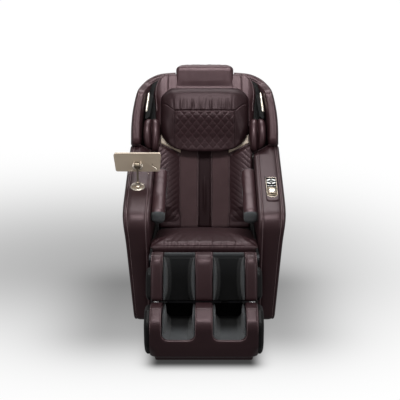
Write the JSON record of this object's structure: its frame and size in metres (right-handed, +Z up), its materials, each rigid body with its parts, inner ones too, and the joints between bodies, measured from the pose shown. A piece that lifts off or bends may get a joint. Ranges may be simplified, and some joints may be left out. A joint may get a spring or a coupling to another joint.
{
  "type": "massage chair",
  "caption": "Zero gravity massage chair with padded arms, winged reclining back on a roller carriage, quilted head pillow, lifting leg rest with calf and foot wells.",
  "frame": {"origin": "middle of the underside of the rubber floor pad", "axes": "+X to the sitter's left, -Y the way the sitter faces, +Z up"},
  "size_m": [0.837, 1.4362, 1.1865],
  "materials": {
    "black_plastic": "satin gloss",
    "bright_steel": "polished",
    "gold": "gold anodised",
    "grey_cloth": "knitted",
    "leather": "semi-gloss grain",
    "rubber": "matt",
    "steel": "dark satin",
    "white_plastic": "satin"
  },
  "bodies": {
    "base": {"base_frame": "steel", "control_box": "black_plastic", "floor_pad": "rubber", "tilt_actuator": "black_plastic"},
    "tilt_rod": {"tilt_rod": "bright_steel"},
    "left_wheel": {"left_wheel": "rubber"},
    "right_wheel": {"right_wheel": "rubber"},
    "power_switch": {"power_switch": "black_plastic"},
    "seat": {"control_panel": "gold", "holder_base": "gold", "left_arm": "leather", "left_forearm_pad": "leather", "left_side_panel": "leather", "leg_actuator": "black_plastic", "leg_shaft": "bright_steel", "recline_actuator": "black_plastic", "recline_shaft": "bright_steel", "right_arm": "leather", "right_forearm_pad": "leather", "right_side_panel": "leather", "seat_cushion": "leather", "seat_frame": "steel"},
    "rear_left_key": {"rear_left_key": "white_plastic"},
    "rear_right_key": {"rear_right_key": "white_plastic"},
    "front_left_key": {"front_left_key": "white_plastic"},
    "front_right_key": {"front_right_key": "white_plastic"},
    "dial": {"dial": "gold"},
    "holder_stem": {"holder_stem": "gold"},
    "holder_plate": {"holder_plate": "gold"},
    "recline_rod": {"recline_rod": "bright_steel"},
    "leg_rod": {"leg_rod": "bright_steel"},
    "backrest": {"back_cover": "leather", "back_frame": "steel", "back_pad": "leather", "head_flap": "leather", "left_shoulder_pad": "leather", "left_wing": "leather", "left_wing_bar": "gold", "neck_panel": "gold", "right_shoulder_pad": "leather", "right_wing": "leather", "right_wing_bar": "gold"},
    "pillow": {"head_pillow": "leather"},
    "carriage": {"carriage": "steel"},
    "left_tap": {"left_tapping_arm": "steel"},
    "left_roller": {"left_roller": "white_plastic"},
    "right_tap": {"right_tapping_arm": "steel"},
    "right_roller": {"right_roller": "white_plastic"},
    "leg": {"calf_unit": "leather", "left_calf_cover": "black_plastic", "left_calf_liner": "grey_cloth", "right_calf_cover": "black_plastic", "right_calf_liner": "grey_cloth"},
    "foot": {"foot_unit": "leather", "left_extension_tube": "bright_steel", "left_foot_cover": "black_plastic", "left_foot_liner": "grey_cloth", "right_extension_tube": "bright_steel", "right_foot_cover": "black_plastic", "right_foot_liner": "grey_cloth"}
  },
  "joints": [
    {"name": "seat_tilt", "type": "hinge", "parent": "base", "child": "seat", "pos_m": [0, 0.3, 0.13], "axis": [-1, 0, 0], "range_deg": [0, 12]},
    {"name": "tilt_drive", "type": "slide", "parent": "base", "child": "tilt_rod", "axis": [0, 0.4027, 0.9153], "range_m": [0, 0.11025]},
    {"name": "left_wheel_spin", "type": "hinge", "parent": "base", "child": "left_wheel", "pos_m": [0.183, 0.365, 0.034], "axis": [1, 0, 0], "continuous": true},
    {"name": "right_wheel_spin", "type": "hinge", "parent": "base", "child": "right_wheel", "pos_m": [-0.183, 0.365, 0.034], "axis": [1, 0, 0], "continuous": true},
    {"name": "power_rocker", "type": "hinge", "parent": "base", "child": "power_switch", "pos_m": [0.07, 0.28, 0.0876], "axis": [1, 0, 0], "range_deg": [-8, 8]},
    {"name": "recline", "type": "hinge", "parent": "seat", "child": "backrest", "pos_m": [0, 0.16, 0.36], "axis": [-1, 0, 0], "range_deg": [0, 40]},
    {"name": "recline_drive", "type": "slide", "parent": "seat", "child": "recline_rod", "axis": [0, 1, 0], "range_m": [-0.08943, 0]},
    {"name": "leg_lift", "type": "hinge", "parent": "seat", "child": "leg", "pos_m": [0, -0.43, 0.395], "axis": [-1, 0, 0], "range_deg": [0, 60]},
    {"name": "leg_drive", "type": "slide", "parent": "seat", "child": "leg_rod", "axis": [0, -1, 0], "range_m": [0, 0.1005]},
    {"name": "foot_extension", "type": "slide", "parent": "leg", "child": "foot", "axis": [0, -0.3746, -0.9272], "range_m": [0, 0.12]},
    {"name": "pillow_flip", "type": "hinge", "parent": "backrest", "child": "pillow", "pos_m": [0, 0.43007, 1.04604], "axis": [-1, 0, 0], "range_deg": [0, 40]},
    {"name": "carriage_travel", "type": "slide", "parent": "backrest", "child": "carriage", "axis": [0, 0.4384, 0.8988], "range_m": [-0.1, 0.32]},
    {"name": "left_tap_swing", "type": "hinge", "parent": "carriage", "child": "left_tap", "pos_m": [0, 0.31633, 0.5619], "axis": [-1, 0, 0], "range_deg": [-8, 8]},
    {"name": "left_roller_spin", "type": "hinge", "parent": "left_tap", "child": "left_roller", "pos_m": [0.083, 0.2606, 0.58908], "axis": [1, 0, 0], "continuous": true},
    {"name": "right_tap_swing", "type": "hinge", "parent": "carriage", "child": "right_tap", "pos_m": [0, 0.31633, 0.5619], "axis": [-1, 0, 0], "range_deg": [-8, 8]},
    {"name": "right_roller_spin", "type": "hinge", "parent": "right_tap", "child": "right_roller", "pos_m": [-0.083, 0.2606, 0.58908], "axis": [1, 0, 0], "continuous": true},
    {"name": "rear_left_key_press", "type": "slide", "parent": "seat", "child": "rear_left_key", "axis": [0, 0.342, -0.9397], "range_m": [0, 0.001], "stiffness_N_per_m": 400},
    {"name": "rear_right_key_press", "type": "slide", "parent": "seat", "child": "rear_right_key", "axis": [0, 0.342, -0.9397], "range_m": [0, 0.001], "stiffness_N_per_m": 400},
    {"name": "front_left_key_press", "type": "slide", "parent": "seat", "child": "front_left_key", "axis": [0, 0.342, -0.9397], "range_m": [0, 0.001], "stiffness_N_per_m": 400},
    {"name": "front_right_key_press", "type": "slide", "parent": "seat", "child": "front_right_key", "axis": [0, 0.342, -0.9397], "range_m": [0, 0.001], "stiffness_N_per_m": 400},
    {"name": "dial_turn", "type": "hinge", "parent": "seat", "child": "dial", "pos_m": [0.3325, -0.159, 0.65164], "axis": [0, -0.342, 0.9397], "range_deg": [-135, 135]},
    {"name": "holder_swivel", "type": "hinge", "parent": "seat", "child": "holder_stem", "pos_m": [-0.33, -0.103, 0.66108], "axis": [0, 0, 1], "range_deg": [-90, 90]},
    {"name": "holder_tilt", "type": "hinge", "parent": "holder_stem", "child": "holder_plate", "pos_m": [-0.33, -0.103, 0.77308], "axis": [-1, 0, 0], "range_deg": [-12, 25]}
  ],
  "couplings": [
    {"joint": "tilt_drive", "follows": "seat_tilt", "m_per_rad": 0.52402},
    {"joint": "recline_drive", "follows": "recline", "m_per_rad": -0.12738},
    {"joint": "leg_drive", "follows": "leg_lift", "m_per_rad": 0.095493},
    {"joint": "right_tap_swing", "follows": "left_tap_swing", "ratio": -1}
  ]
}
